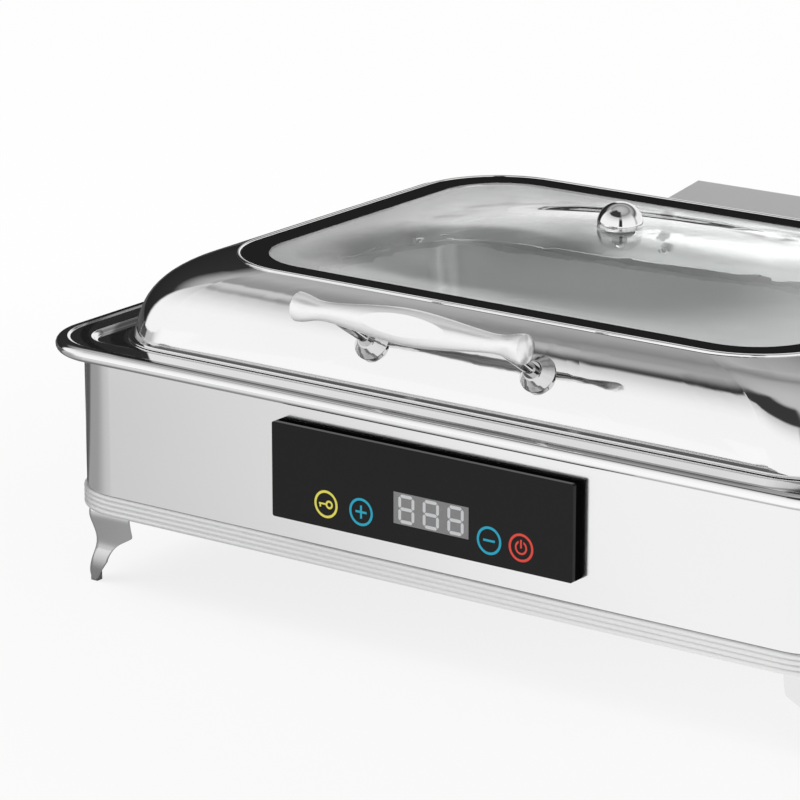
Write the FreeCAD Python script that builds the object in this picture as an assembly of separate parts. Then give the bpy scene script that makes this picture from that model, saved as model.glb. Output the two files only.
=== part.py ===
import FreeCAD, Part
import math
import os

V = FreeCAD.Vector
EX, EY, EZ = V(1, 0, 0), V(0, 1, 0), V(0, 0, 1)

# Countertop chafing dish with a hydraulic lid hinge. Millimetres, +Z up, the feet
# stand on Z = 0, the control panel faces -Y. Everything is placed about the middle
# of the body; the export at the end moves it to the middle of the overall box.

# Body: one sheet wall with rounded corners, standing on four pressed legs
WALL_X, WALL_Y, WALL_R = 610.0, 442.0, 45.0
SHEET = 1.0
LEG_H = 55.0
WALL_H = 109.3
RIM_Z = LEG_H + WALL_H
BODY_FLANGE = 22.0
BODY_LIP = 4.5
WALL_BACK = WALL_Y / 2

# Ribbed band round the foot of the wall
BAND_H = 13.6
BAND_RIBS = 4
BAND_D, RIB_D = 1.2, 0.8

# Water pan: rolled rim with tighter corners than the wall, flat flange, gutter for
# the lid edge, basin
RIM_R = 35.0
RIM_OUT = 15.0
RIM_BEAD = 10.0
RIM_DROP = 1.8
FLANGE_UP = 7.5
GUTTER_UP = 4.7
GUTTER_IN = 29.0
WATER_DEPTH = 85.0
BASIN_X, BASIN_Y, BASIN_R = 512.0, 307.0, 26.0
PLATE_Z = RIM_Z + GUTTER_UP

# Food pan of the catering size 1/1, 65 deep, standing on its folded lip
PAN_X, PAN_Y, PAN_R = 530.0, 325.0, 22.0
PAN_BODY_X, PAN_BODY_Y = 506.0, 301.0
PAN_DEPTH = 65.0
PAN_TAPER = 8.0
PAN_LIP = 4.0
PAN_SHEET = 0.8
REST_GAP = 0.3

# Lid: drawn shell; each station is height share, inset share of the way to the window
LID_IN = 23.0
LID_R = 46.0
LID_H = 57.4
LID_HEM = 3.0
LID_Z = PLATE_Z + REST_GAP
LID_HX, LID_HY = WALL_X / 2 - LID_IN, WALL_Y / 2 - LID_IN
WINDOW_HX, WINDOW_HY, WINDOW_R = 227.3, 161.5, 62.0
STATIONS = [(0.0, 0.0), (0.22, 0.05), (0.50, 0.15), (0.72, 0.33), (0.88, 0.60), (1.0, 1.0)]
LID_TOP = LID_Z + LID_H

# Window: crowned glass on a gasket in a sunk seat, its edge printed black on top
GLASS_T = 4.0
GLASS_CROWN = 21.0
BORDER = 16.5
PRINT_T = 0.3
GASKET_T = 1.7
EDGE_GAP = 0.8
BEAD_W, BEAD_UP, BEAD_R = 2.8, 1.1, 1.0
SIGHT_HX = WINDOW_HX - SHEET - EDGE_GAP - BORDER
SIGHT_HY = WINDOW_HY - SHEET - EDGE_GAP - BORDER
SIGHT_R = 48.0
LEDGE = 13.0

# M6, M5 and M3 shanks
STUD_R, BOLT_R, SCREW_R = 3.0, 2.5, 1.5

# Knob in the middle of the glass
KNOB_R, KNOB_H = 15.5, 17.1
KNOB_LIFT = 0.6
KNOB_BORE = 10.0
KNOB_SEAL_R = 10.0
GLASS_HOLE_R = 4.5

# Handle: cast bar on two posts that lean outwards from the front of the lid
POST_SPAN = 128.0
POST_R = 4.0
POST_FOOT_H = 32.0
POST_TILT = 32.5
POST_REACH = 57.0
BAR_L = 181.0
BAR_MID_R, BAR_NECK_R, BAR_END_R = 11.8, 6.8, 9.6
BAR_FLAT = 9.5
FACET_TURN = 192.0 - POST_TILT
ROSETTE_R, ROSETTE_H = 12.5, 8.5

# Hinge: shaft behind the rim, carried by two cheeks, lid leaf outside them
SHAFT_Y, SHAFT_Z = 254.0, RIM_Z + 20.0
SHAFT_R = 4.0
FIT = 0.05
CHEEK_X, CHEEK_T = 98.0, 2.5
HINGE_LOW = RIM_Z - 72.0
RIM_CLEAR = 1.2
HINGE_NOTCH = RIM_Z - RIM_DROP - RIM_CLEAR
COVER_R = 21.5
COVER_T = 1.0
COVER_X = 102.0
INSIDE_GAP = 1.0
COVER_FRONT = WALL_BACK + RIM_OUT + 2.0
LEAF_X, LEAF_T = 107.0, 2.0
LEAF_BACK = 273.0
LEAF_TILT = 7.0
LEAF_OVER = RIM_Z + 47.067093
OPEN_ANGLE = 90.0
STOP_X, STOP_R, STOP_DROP = 70.0, 6.0, 8.0
COVER_SCREW_UP, COVER_SCREW_DOWN = 12.0, 20.0

# Cam and damper: an involute of this base circle lifts a flat plunger evenly
CAM_BASE = 8.5
CAM_SPARE = 2.5
CAM_LEAD = 1.4
CAM_W, CAM_HUB_W, CAM_HUB_R = 12.0, 7.0, 8.0
CAM_X = 60.0
CAM_GAP = 0.3
STROKE = CAM_BASE * math.radians(OPEN_ANGLE)
PLUNGER_Y = SHAFT_Y - CAM_BASE
HEAD_R, HEAD_T = 5.0, 3.0
ROD_R = 3.5
DAMPER_R, DAMPER_BORE = 8.0, 6.0
DAMPER_TOP = RIM_Z - 8.0
DAMPER_L = 58.0
GLAND_T = 6.0
PISTON_T = 8.0

# Control box on the front wall
BOX_X, BOX_Z, BOX_D = 233.0, 64.0, 8.5
BOX_MID_Z = RIM_Z - 47.4
TOUCH_T = 3.0
BOX_WALL = 2.0
PEG_L, BOARD_T = 0.8, 1.6
RING_R, RING_W = 9.3, 1.7
PRINT_DEPTH = 0.3
KEY_Z = RIM_Z - 63.6
LOCK_X, PLUS_X, MINUS_X, POWER_X = -73.1, -45.2, 54.0, 78.1
DIGIT_X, DIGIT_Z = 9.4, RIM_Z - 55.4
DIGIT_W, DIGIT_H, DIGIT_STROKE = 12.5, 19.0, 2.2
DIGIT_PITCH = 19.0

# Heater under the basin
HEAT_X, HEAT_Y, HEAT_T = 320.0, 150.0, 10.0
TUBE_R = 4.0
BASIN_FLOOR = PLATE_Z - WATER_DEPTH
HEAT_TOP = BASIN_FLOOR - SHEET
BAR_W, BAR_T = 24.0, 3.0

# Pressed legs: ridge line (distance from the wall planes, height), the sweep of the
# free edge, and the toe
LEG_T, LEG_BEND = 2.0, 5.0
LEG_W, LEG_TOE, LEG_FAR = 49.0, 19.0, 60.0
LEG_LOW, LEG_TOP = 1.0, LEG_H - SHEET
RIDGE = [(14.0, LEG_TOP), (14.3, 38.0), (15.0, 23.0), (13.4, 16.5), (12.2, 9.0), (12.4, 4.0),
         (13.4, LEG_LOW)]
LEG_SWEEP = [(28.0, 15.0), (29.5, 20.0), (33.5, 25.5), (40.0, 30.0), (47.0, 34.0)]
PAD_IN, PAD_W, PAD_H = 14.0, 5.4, 8.0

# Power inlet in the rear wall
INLET_X, INLET_Z = 200.0, LEG_H + 52.0
INLET_W, INLET_H, INLET_D = 28.0, 20.0, 24.0
INLET_EAR = 50.0

# Power board on its pillars
PILLAR_X, PILLAR_Y = (-245.0, -190.0), 60.0
PILLAR_R, PILLAR_H, BOARD_EDGE = 3.0, 8.0, 7.0


# Shared forms
def outline(hx, hy, r, z):
    """Closed wire of a rectangle with round corners, half sizes hx and hy."""
    k = r * math.sqrt(0.5)
    edges = []
    for sx, sy in ((1, 1), (-1, 1), (-1, -1), (1, -1)):
        c = V(sx * (hx - r), sy * (hy - r), z)
        a, b = c + V(sx * r, 0, 0), c + V(0, sy * r, 0)
        if sx != sy:
            a, b = b, a
        edges.append((a, c + V(sx * k, sy * k, 0), b))
    made = []
    for i, (a, m, b) in enumerate(edges):
        made.append(Part.Arc(a, m, b).toShape())
        made.append(Part.makeLine(b, edges[(i + 1) % 4][0]))
    return Part.Wire(made)


def prism(hx, hy, r, z0, z1):
    return Part.Face(outline(hx, hy, r, z0)).extrude(V(0, 0, z1 - z0))


def stack(stations):
    """Smooth solid through round-cornered outlines (hx, hy, r, z)."""
    return Part.makeLoft([outline(*s) for s in stations], True, False)


def path(points):
    """Open wire through (u, w, fillet) points in the XZ plane, corners rounded."""
    edges, last = [], None
    for i, (u, w, r) in enumerate(points):
        p = V(u, 0, w)
        if r and 0 < i < len(points) - 1:
            before, after = points[i - 1], points[i + 1]
            a = (V(before[0], 0, before[1]) - p).normalize()
            b = (V(after[0], 0, after[1]) - p).normalize()
            half = a.getAngle(b) / 2
            start, end = p + a * (r / math.tan(half)), p + b * (r / math.tan(half))
            mid = p + (a + b).normalize() * (r / math.sin(half) - r)
            if last.distanceToPoint(start) > 1e-6:
                edges.append(Part.makeLine(last, start))
            edges.append(Part.Arc(start, mid, end).toShape())
            last = end
        else:
            if last is not None:
                edges.append(Part.makeLine(last, p))
            last = p
    return Part.Wire(edges)


def profile(points):
    """Closed face in the XZ plane from (u, w, fillet) points, fillets allowed."""
    (u0, w0, _), (u1, w1, _) = points[0], points[-1]
    start = ((u0 + u1) / 2, (w0 + w1) / 2, 0)
    wire = path([start] + list(points) + [start])
    return Part.Face(wire)


def sheet(points, t):
    """Closed face of a bent sheet: the (u, w, fillet) line and its copy t to the right."""
    runs = [V(b[0] - a[0], 0, b[1] - a[1]).normalize() for a, b in zip(points, points[1:])]
    sides = [V(d.z, 0, -d.x) for d in runs]
    moved = []
    for i, (u, w, r) in enumerate(points):
        if 0 < i < len(points) - 1:
            a, b = sides[i - 1], sides[i]
            step = (a + b) * (t / (1 + a.dot(b)))
            inside = runs[i - 1].cross(runs[i]).y
            r = r - t if inside > 0 else r + t
        else:
            step = sides[0 if i == 0 else -1] * t
        moved.append((u + step.x, w + step.z, r))
    back = moved[::-1]
    ends = [Part.makeLine(V(a[0], 0, a[1]), V(b[0], 0, b[1]))
            for a, b in ((points[-1], back[0]), (back[-1], points[0]))]
    return Part.Face(Part.Wire(path(points).Edges + [ends[0]] + path(back).Edges + [ends[1]]))


def along_x(face, x0, x1):
    """Turn an XZ face into the YZ plane (u becomes Y) and extrude it from x0 to x1."""
    side = face.copy()
    side.rotate(V(), EZ, 90)
    side.translate(V(x0, 0, 0))
    return side.extrude(V(x1 - x0, 0, 0))


def along_y(face, y0, y1):
    side = face.copy()
    side.translate(V(0, y0, 0))
    return side.extrude(V(0, y1 - y0, 0))


def ring(face, hx, hy, r):
    """Run a section round the outline; section u is outward from it, w is height."""
    pieces = []
    for turn, (sx, sy) in enumerate(((1, 1), (-1, 1), (-1, -1), (1, -1))):
        centre = V(sx * (hx - r), sy * (hy - r), 0)
        part = face.copy()
        part.translate(V(r, 0, 0))
        part.rotate(V(), EZ, 90 * turn)
        part.translate(centre)
        run = FreeCAD.Rotation(EZ, 90 * turn + 90).multVec(EX)
        length = 2 * ((hy if turn % 2 == 0 else hx) - r)
        pieces += [part.revolve(centre, EZ, 90), part.extrude(run * -length)]
    return pieces[0].fuse(pieces[1:]).removeSplitter()


def tray(hx, hy, r, top, bottom, fillet):
    """Block with round corners and a round bottom edge."""
    block = prism(hx, hy, r, bottom, top)
    low = [e for e in block.Edges if abs(e.BoundBox.ZMax - bottom) < 1e-6]
    return block.makeFillet(fillet, low)


def rod(r, start, direction, length):
    return Part.makeCylinder(r, length, start, direction)


def tube(r, bore, start, direction, length):
    return rod(r, start, direction, length).cut(rod(bore, start, direction, length))


def box(x0, x1, y0, y1, z0, z1):
    return Part.makeBox(x1 - x0, y1 - y0, z1 - z0, V(x0, y0, z0))


def turned(points, start, direction):
    """Solid of revolution: (radius, height) outline turned about an axis."""
    wire = path([(r, h, f) for r, h, f in points] + [points[0]])
    body = Part.Face(wire).revolve(V(), EZ, 360)
    body.Placement = FreeCAD.Placement(start, FreeCAD.Rotation(EZ, direction))
    return body


def mirrored(shape, x=False, y=False):
    out = shape
    if x:
        out = out.mirror(V(), EX)
    if y:
        out = out.mirror(V(), EY)
    return out


def hexagon(across, start, direction, length):
    r = across / math.sqrt(3)
    pts = [V(r * math.cos(math.radians(a)), r * math.sin(math.radians(a)), 0)
           for a in range(0, 361, 60)]
    nut = Part.Face(Part.makePolygon(pts)).extrude(V(0, 0, length))
    nut.Placement = FreeCAD.Placement(start, FreeCAD.Rotation(EZ, direction))
    return nut


def cap_nut(across, hole, start, direction, body=4.0):
    """Hexagon nut closed by a round cap, with the thread bore as a blind hole."""
    dome = Part.makeSphere(across * 0.42, start + direction * body, direction)
    block = hexagon(across, start, direction, body).fuse(dome).removeSplitter()
    return block.cut(rod(hole, start - direction, direction, body + 1 + across * 0.2))


def machine_screw(r, head_r, head_h, start, direction, length):
    """Button head on start, shank running along direction."""
    head = turned([(0, 0, 0), (head_r, 0, 0), (head_r, head_h * 0.4, 0), (head_r * 0.72, head_h, 0),
                   (0, head_h, 0)], start, direction * -1)
    socket = hexagon(head_r * 0.9, start - direction * head_h, direction, head_h * 0.55)
    return head.cut(socket).fuse(rod(r, start, direction, length)).removeSplitter()


def m5_screw(start, direction):
    return machine_screw(BOLT_R, 4.6, 2.6, start, direction, 10.0)


def m3_screw(start, direction, length=8.0):
    return machine_screw(SCREW_R, 3.0, 1.8, start, direction, length)


group = Part.makeCompound
parts = {}

# Body shell: wall with folded flanges top and bottom
FLANGE_LOW = FLANGE_UP - SHEET
wall_face = sheet([(-BODY_LIP, FLANGE_LOW, 0), (0, FLANGE_LOW, 2.0), (0, -WALL_H, 2.0),
                   (-BODY_FLANGE, -WALL_H, 0)], SHEET)
wall_face.translate(V(0, 0, RIM_Z))
body_shell = ring(wall_face, WALL_X / 2, WALL_Y / 2, WALL_R)

# Ribbed band, four half-round ribs
rib = BAND_H / BAND_RIBS
edges = [Part.makeLine(V(0, 0, BAND_H), V(0, 0, 0)), Part.makeLine(V(0, 0, 0), V(BAND_D, 0, 0))]
for i in range(BAND_RIBS):
    a, b = V(BAND_D, 0, i * rib), V(BAND_D, 0, (i + 1) * rib)
    edges.append(Part.Arc(a, V(BAND_D + RIB_D, 0, (i + 0.5) * rib), b).toShape())
edges.append(Part.makeLine(V(BAND_D, 0, BAND_H), V(0, 0, BAND_H)))
band_face = Part.Face(Part.Wire(edges))
band_face.translate(V(0, 0, LEG_H))
parts["base_band"] = ring(band_face, WALL_X / 2, WALL_Y / 2, WALL_R)

# Water pan: rolled rim and flange as one section, then the plate and the basin
rim_face = sheet([(-GUTTER_IN, GUTTER_UP, 0), (-12.5, GUTTER_UP, 2.0), (-10.0, FLANGE_UP, 2.0),
                  (5.5, FLANGE_UP, 1.6), (6.5, RIM_BEAD - RIM_DROP, 1.6),
                  (RIM_OUT, RIM_BEAD - RIM_DROP, 4.9), (RIM_OUT, -RIM_DROP, 4.9),
                  (6.0, 0.6 - RIM_DROP, 0)], SHEET)
rim_face.translate(V(0, 0, RIM_Z))
water_rim = ring(rim_face, WALL_X / 2, WALL_Y / 2, RIM_R)
PLATE_HX, PLATE_HY = WALL_X / 2 - GUTTER_IN, WALL_Y / 2 - GUTTER_IN
plate = prism(PLATE_HX, PLATE_HY, RIM_R - GUTTER_IN, PLATE_Z - SHEET, PLATE_Z)
BASIN_HX, BASIN_HY = BASIN_X / 2, BASIN_Y / 2
basin = tray(BASIN_HX + SHEET, BASIN_HY + SHEET, BASIN_R + SHEET, PLATE_Z - SHEET,
             BASIN_FLOOR - SHEET, 13.0)
hollow = tray(BASIN_HX, BASIN_HY, BASIN_R, PLATE_Z + SHEET, BASIN_FLOOR, 12.0)
parts["water_pan"] = water_rim.fuse([plate, basin]).cut(hollow).removeSplitter()

# Food pan: tapered tub, flat rim, folded lip it stands on
pan_top = PLATE_Z + REST_GAP + PAN_LIP + PAN_SHEET


def pan_tub(inset, lift):
    top = outline(PAN_BODY_X / 2 - inset, PAN_BODY_Y / 2 - inset, 24.0 - inset, pan_top)
    low = outline(PAN_BODY_X / 2 - PAN_TAPER - inset, PAN_BODY_Y / 2 - PAN_TAPER - inset,
                  20.0 - inset, pan_top - PAN_DEPTH + lift)
    tub = Part.makeLoft([low, top], True, True)
    floor = [e for e in tub.Edges if abs(e.BoundBox.ZMax - low.BoundBox.ZMin) < 1e-3]
    return tub.makeFillet(12.0 - inset, floor)


pan_rim = prism(PAN_X / 2, PAN_Y / 2, PAN_R, pan_top - PAN_SHEET, pan_top)
pan_lip = prism(PAN_X / 2, PAN_Y / 2, PAN_R, pan_top - PAN_SHEET - PAN_LIP, pan_top)
pan_lip = pan_lip.cut(prism(PAN_X / 2 - PAN_SHEET, PAN_Y / 2 - PAN_SHEET, PAN_R - PAN_SHEET,
                            pan_top - PAN_SHEET - PAN_LIP, pan_top - PAN_SHEET))
food_pan = pan_rim.fuse([pan_lip, pan_tub(0, 0)]).cut(pan_tub(PAN_SHEET, PAN_SHEET))
parts["food_pan"] = food_pan.removeSplitter()


# Lid shell
def lid_stations(inset, drop):
    out = []
    for h, s in STATIONS:
        hx = LID_HX + (WINDOW_HX - LID_HX) * s - inset
        hy = LID_HY + (WINDOW_HY - LID_HY) * s - inset
        r = LID_R + (WINDOW_R - LID_R) * s - inset
        out.append((hx, hy, r, LID_Z + LID_H * h - drop))
    return out


lid_outer = stack(lid_stations(0, 0))
lid_inner = stack(lid_stations(SHEET, SHEET))
SEAT_Z = LID_TOP - GLASS_T - GASKET_T
RAIL_HX, RAIL_HY, RAIL_R = WINDOW_HX - SHEET, WINDOW_HY - SHEET, WINDOW_R - SHEET
hem = ring(profile([(0, LID_Z, 0), (LID_HEM, LID_Z, 0.4), (LID_HEM, LID_Z + SHEET, 0.4),
                    (-SHEET, LID_Z + SHEET, 0), (-SHEET, LID_Z, 0)]), LID_HX, LID_HY, LID_R)
lid_shell = lid_outer.cut(lid_inner).cut(prism(WINDOW_HX, WINDOW_HY, WINDOW_R, SEAT_Z, LID_TOP + SHEET))
lid_shell = lid_shell.fuse(hem)

# Window frame: a ledge for the glass, a rail and a bead that laps over the edge of the lid
frame_line = [(-SHEET, LID_TOP + BEAD_UP, BEAD_R), (BEAD_W - SHEET, LID_TOP + BEAD_UP, BEAD_R),
              (BEAD_W - SHEET, LID_TOP - SHEET, 0), (0, LID_TOP - SHEET, 0), (0, SEAT_Z - SHEET, 0),
              (-SHEET - LEDGE, SEAT_Z - SHEET, 0), (-SHEET - LEDGE, SEAT_Z, 0), (-SHEET, SEAT_Z, 0)]
window_frame = ring(profile(frame_line), WINDOW_HX, WINDOW_HY, WINDOW_R).cut(lid_shell)
parts["window_frame"] = window_frame.removeSplitter()

# Window gasket, printed border and crowned glass
gasket_line = [(0, SEAT_Z, 0), (0, LID_TOP - 0.6, 0), (-EDGE_GAP, LID_TOP - 0.6, 0),
               (-EDGE_GAP, SEAT_Z + GASKET_T, 0), (-LEDGE, SEAT_Z + GASKET_T, 0), (-LEDGE, SEAT_Z, 0)]
parts["window_gasket"] = ring(profile(gasket_line), RAIL_HX, RAIL_HY, RAIL_R)
PANE_HX, PANE_HY, PANE_R = RAIL_HX - EDGE_GAP, RAIL_HY - EDGE_GAP, RAIL_R - EDGE_GAP
GLASS_Z = LID_TOP - GLASS_T
PRINT_Z = LID_TOP - PRINT_T
sight = prism(SIGHT_HX, SIGHT_HY, SIGHT_R, PRINT_Z, LID_TOP + SHEET)
print_space = prism(PANE_HX, PANE_HY, PANE_R, PRINT_Z, LID_TOP + SHEET).cut(sight)
parts["window_black_border"] = prism(PANE_HX, PANE_HY, PANE_R, PRINT_Z, LID_TOP).cut(sight)
crown = Part.BezierSurface()
crown.increase(4, 4)
for i in range(5):
    for j in range(5):
        lift = GLASS_CROWN * (8.0 / 3.0) ** 2 if i == j == 2 else 0.0
        crown.setPole(i + 1, j + 1, V(SIGHT_HX * (i / 2 - 1), SIGHT_HY * (j / 2 - 1), LID_TOP + lift))
pillow = crown.toShape().extrude(V(0, 0, -GLASS_T))
edge_pane = prism(PANE_HX, PANE_HY, PANE_R, GLASS_Z, LID_TOP)
edge_pane = edge_pane.cut(box(-SIGHT_HX, SIGHT_HX, -SIGHT_HY, SIGHT_HY, GLASS_Z, LID_TOP))
glass = edge_pane.fuse(pillow)
CROWN_Z = LID_TOP + GLASS_CROWN
glass = glass.common(prism(PANE_HX, PANE_HY, PANE_R, GLASS_Z, LID_TOP + 2 * GLASS_CROWN))
glass = glass.cut(print_space)
parts["window_glass"] = glass.cut(rod(GLASS_HOLE_R, V(0, 0, LID_TOP), EZ, 2 * GLASS_CROWN))

# Knob: cap, seals on both faces of the glass, stud and nut
KNOB_LOW = CROWN_Z + KNOB_LIFT
KNOB_TOP = KNOB_LOW + KNOB_H
parts["knob_cap"] = turned(
    [(0, KNOB_LOW + KNOB_BORE, 0), (STUD_R, KNOB_LOW + KNOB_BORE, 0), (STUD_R, KNOB_LOW, 0),
     (KNOB_R, KNOB_LOW, 0.6), (KNOB_R, KNOB_TOP, KNOB_R - 0.5), (0, KNOB_TOP, 0)], V(), EZ)
seal_top = tube(KNOB_SEAL_R, STUD_R, V(0, 0, CROWN_Z - 2.0), EZ, 2.0 + KNOB_LIFT)
seal_low = tube(KNOB_SEAL_R, STUD_R, V(0, 0, CROWN_Z - GLASS_T - 1.8), EZ, 3.0)
parts["knob_seals"] = group([seal_top.cut(glass), seal_low.cut(glass)])
SEAL_FACE = CROWN_Z - GLASS_T - 1.8
parts["knob_washer"] = tube(9.0, STUD_R, V(0, 0, SEAL_FACE - 1.2), EZ, 1.2)
cap_nuts = [cap_nut(10.0, STUD_R, V(0, 0, SEAL_FACE - 1.2), EZ * -1, 4.5)]
parts["knob_stud"] = rod(STUD_R, V(0, 0, SEAL_FACE - 6.0), EZ, KNOB_LOW + KNOB_BORE - SEAL_FACE + 6.0)

# Lid handle: posts leaning out of the front, rosettes, backing washers and cap nuts
tilt = math.radians(POST_TILT)
lean = V(0, -math.cos(tilt), math.sin(tilt))
foot_inset = (LID_HY - WINDOW_HY) * 0.19
foot = V(0, -LID_HY + foot_inset, LID_Z + POST_FOOT_H)
bar_mid = foot + lean * POST_REACH
posts, rosettes, backings, post_holes = [], [], [], []
for side in (-1, 1):
    base = foot + V(side * POST_SPAN / 2, 0, 0)
    posts.append(rod(POST_R, base, lean, POST_REACH - 2.0)
                 .fuse(rod(STUD_R, base - lean * 15.5, lean, 18.0)).removeSplitter())
    rosette = turned([(POST_R, -8.0, 0), (ROSETTE_R, -8.0, 0), (ROSETTE_R, 1.5, 1.0),
                      (10.0, 4.5, 2.5), (6.5, ROSETTE_H, 2.0), (POST_R, ROSETTE_H, 0)], base, lean)
    rosettes.append(rosette.cut(lid_outer))
    backings.append(tube(7.5, STUD_R, base, lean * -1, 9.5).common(lid_inner))
    cap_nuts.append(cap_nut(10.0, STUD_R, base - lean * 9.5, lean * -1, 4.5))
    post_holes.append(rod(POST_R, base - lean * 8.0, lean, 16.0))
parts["handle_posts"] = group(posts)
parts["handle_rosettes"] = group(rosettes)
parts["handle_backing_washers"] = group(backings)
half = BAR_L / 2
bar_line = Part.BSplineCurve()
bar_right = [(half - 34, BAR_NECK_R), (half - 19, BAR_NECK_R), (half - 9, BAR_END_R - 0.5),
             (half - 4, BAR_END_R)]
bar_line.interpolate([V(-x, r, 0) for x, r in bar_right[::-1]] + [V(0, BAR_MID_R, 0)]
                     + [V(x, r, 0) for x, r in bar_right])
ends = [Part.Arc(V(s * (half - 4), BAR_END_R, 0), V(s * (half - 1), BAR_END_R * 0.62, 0),
                 V(s * half, 0, 0)).toShape() for s in (-1, 1)]
bar_wire = Part.Wire([bar_line.toShape(), ends[1], Part.makeLine(V(half, 0, 0), V(-half, 0, 0)), ends[0]])
bar = Part.Face(bar_wire).revolve(V(), EX, 360)
bar.translate(bar_mid)
facet = Part.makeBox(BAR_L, 20.0, 60.0, V(-half, BAR_FLAT, -30.0))
facet.Placement = FreeCAD.Placement(bar_mid, FreeCAD.Rotation(EX, FACET_TURN)).multiply(facet.Placement)
parts["handle_bar"] = bar.cut(facet).cut(group(posts))

# Lid leaf of the hinge: top plate, two side flanges, and a foot plate formed to the
# back of the lid
slope = math.tan(math.radians(LEAF_TILT))
LEAF_TOP = LEAF_OVER + slope * (LEAF_BACK - SHAFT_Y)


def leaf_height(y):
    return LEAF_TOP - slope * (LEAF_BACK - y)


BUMPER = leaf_height(SHAFT_Y + STOP_DROP - STOP_R) - LEAF_T - SHAFT_Z - COVER_R - REST_GAP
LEAF_FRONT = 150.0
FOOT_LOW, FOOT_HIGH = LID_Z + 8.0, LID_Z + 34.0
flange_face = profile([(LEAF_FRONT, FOOT_LOW, 0), (LEAF_FRONT, leaf_height(LEAF_FRONT), 0),
                       (LEAF_BACK, LEAF_TOP, 1.0), (LEAF_BACK, SHAFT_Z + 4.0, 8.0),
                       (SHAFT_Y + 8.0, SHAFT_Z - 10.0, 6.0), (SHAFT_Y - 9.0, SHAFT_Z - 10.0, 6.0),
                       (SHAFT_Y - 18.0, FOOT_LOW, 4.0)])
top_face = profile([(LEAF_FRONT, leaf_height(LEAF_FRONT) - LEAF_T, 0),
                    (LEAF_FRONT, leaf_height(LEAF_FRONT), 0),
                    (LEAF_BACK, LEAF_TOP, 1.0), (LEAF_BACK, LEAF_TOP - LEAF_T, 0)])
leaf = along_x(top_face, -LEAF_X, LEAF_X)
for side in (-1, 1):
    inner, outer = sorted((side * (LEAF_X - LEAF_T), side * LEAF_X))
    leaf = leaf.fuse(along_x(flange_face, inner, outer))
formed = stack(lid_stations(-LEAF_T, -0.4)).common(
    box(-LEAF_X, LEAF_X, LEAF_FRONT, LEAF_BACK, FOOT_LOW, leaf_height(200.0)))
leaf = leaf.fuse(formed).cut(lid_outer)
leaf = leaf.common(box(-LEAF_X, LEAF_X, 180.0, LEAF_BACK, SHAFT_Z - 20.0, LEAF_TOP))
leaf = leaf.cut(rod(SHAFT_R, V(-LEAF_X, SHAFT_Y, SHAFT_Z), EX, 2 * LEAF_X)).removeSplitter()

# Screws and cap nuts that hold the leaf to the lid
wall_lean = math.atan2((LID_HY - WINDOW_HY) * 0.10, LID_H * 0.28)
out = V(0, math.cos(wall_lean), math.sin(wall_lean))
leaf_screws, leaf_nuts, leaf_holes = [], [], []
for x in (-85.0, 85.0):
    for h in (15.0, 27.7):
        inset = (LID_HY - WINDOW_HY) * (0.05 + (h / LID_H - 0.22) * 0.357)
        at = V(x, LID_HY - inset, LID_Z + h)
        leaf_screws.append(machine_screw(2.0, 4.0, 2.2, at + out * (LEAF_T + 0.3), out * -1, 8.4))
        leaf_nuts.append(cap_nut(7.0, 2.0, at - out * 1.9, out * -1, 3.2))
        leaf_holes.append(rod(2.0, at - out * 8.0, out, 16.0))
parts["leaf_screws"] = group(leaf_screws)
parts["leaf_cap_nuts"] = group([n.common(lid_inner) for n in leaf_nuts])
parts["hinge_lid_leaf"] = leaf.cut(group(leaf_holes)).cut(group(leaf_screws))
parts["lid_shell"] = lid_shell.cut(group(leaf_holes + post_holes)).removeSplitter()

# Hinge shaft with threaded ends and cap nuts
AXIS = V(0, SHAFT_Y, SHAFT_Z)
parts["hinge_shaft"] = rod(SHAFT_R, AXIS - EX * LEAF_X, EX, 2 * LEAF_X).fuse(
    rod(STUD_R, AXIS - EX * (LEAF_X + 5.0), EX, 2 * LEAF_X + 10.0)).removeSplitter()
cap_nuts += [cap_nut(10.0, STUD_R, AXIS + EX * (s * LEAF_X), EX * s, 4.5) for s in (-1, 1)]
parts["lid_cap_nuts"] = group(cap_nuts)

# Hinge frame: plate on the rear wall with two cheeks, bushes for the shaft
CHEEK_FRONT, CHEEK_STEP = COVER_FRONT + COVER_T + INSIDE_GAP, HINGE_NOTCH - COVER_T - REST_GAP
cheek = profile([(WALL_BACK, HINGE_LOW + 2.0, 0), (272.0, HINGE_LOW + 2.0, 4.0), (272.0, SHAFT_Z, 10.0),
                 (SHAFT_Y + 10.0, SHAFT_Z + 12.0, 8.0), (SHAFT_Y - 10.0, SHAFT_Z + 12.0, 8.0),
                 (CHEEK_FRONT, RIM_Z + 8.0, 4.0), (CHEEK_FRONT, CHEEK_STEP, 0), (WALL_BACK, CHEEK_STEP, 0)])
frame = box(-CHEEK_X, CHEEK_X, WALL_BACK, WALL_BACK + CHEEK_T, HINGE_LOW + 2.0, CHEEK_STEP)
BUSH_R = 6.0
for side in (-1, 1):
    inner, outer = sorted((side * (CHEEK_X - CHEEK_T), side * CHEEK_X))
    frame = frame.fuse(along_x(cheek, inner, outer))
frame = frame.cut(rod(BUSH_R, AXIS - EX * LEAF_X, EX, 2 * LEAF_X))
bushes = []
for side in (-1, 1):
    start = AXIS + EX * (side * (CHEEK_X - CHEEK_T - 1.5))
    sleeve = rod(BUSH_R, start, EX * side, CHEEK_T + 1.5).fuse(rod(8.0, start, EX * side, 1.5))
    bushes.append(sleeve.cut(rod(SHAFT_R + FIT, start, EX * side, 6.0)).removeSplitter())
parts["shaft_bushes"] = group(bushes)
stiffener = box(-CHEEK_X, CHEEK_X, WALL_BACK - SHEET - 2.0, WALL_BACK - SHEET, HINGE_LOW + 6.0, RIM_Z - 6.0)
frame_screws, m5_nuts = [], []
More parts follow.
